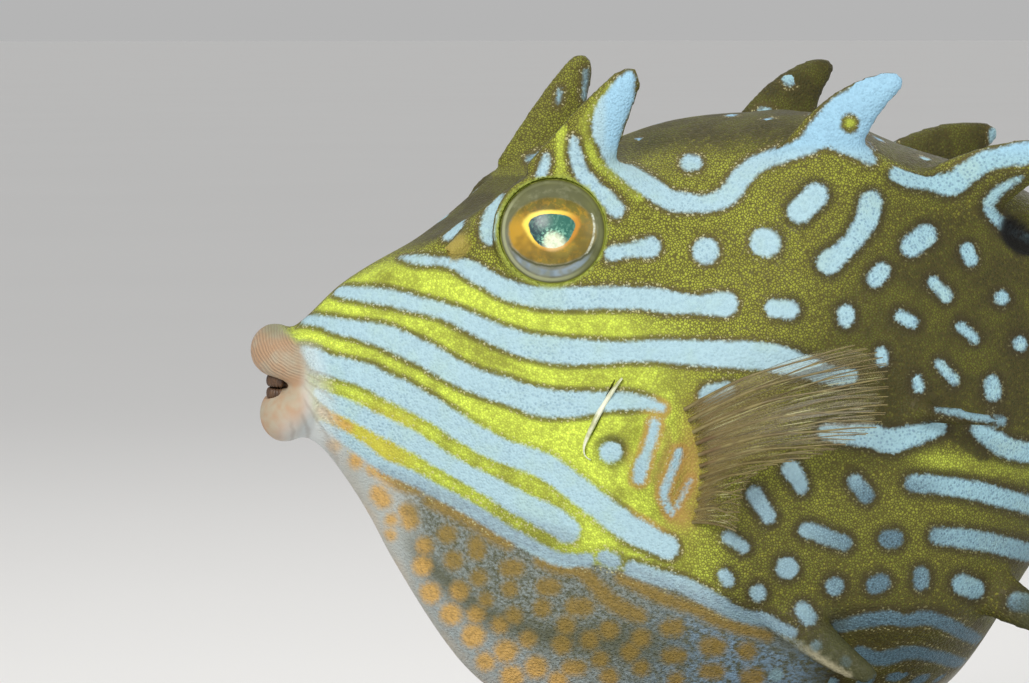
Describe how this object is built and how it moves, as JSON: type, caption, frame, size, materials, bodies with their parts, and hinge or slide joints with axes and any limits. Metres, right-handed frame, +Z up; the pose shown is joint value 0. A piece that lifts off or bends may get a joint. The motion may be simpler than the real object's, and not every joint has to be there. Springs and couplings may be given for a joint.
{
  "type": "shaw's cowfish model",
  "caption": "Life-size still model of a spiny boxed fish with brow horns, ridged shell, fan fins and full lips, held above a flat base by upright rods.",
  "frame": {"origin": "on the floor under the middle of the fish's length, midway between its two sides", "axes": "+X from snout to tail, +Y towards the fish's right side, +Z up"},
  "size_m": [0.1698, 0.0716, 0.1179],
  "materials": {
    "skin": "yellow-green with pale blue stripes, hard granular plates",
    "horn": "pale blue, granular",
    "lip": "peach, finely wrinkled",
    "tooth": "dark reddish brown",
    "eye": "golden iris under a clear cornea",
    "fin": "thin olive-brown membrane with raised rays",
    "stand": "satin black"
  },
  "bodies": {
    "root": {"head": "skin", "torso": "skin", "tail": "skin", "horn_left": "horn", "horn_right": "horn", "lip_upper": "lip", "lip_lower": "lip", "teeth": "tooth", "eye_left": "eye", "eye_right": "eye", "dorsal_fin": "fin", "anal_fin": "fin", "caudal_fin": "fin", "pectoral_fin_left": "fin", "pectoral_fin_right": "fin", "stand_base": "stand", "stand_rod_front": "stand", "stand_rod_rear": "stand"}
  },
  "joints": []
}
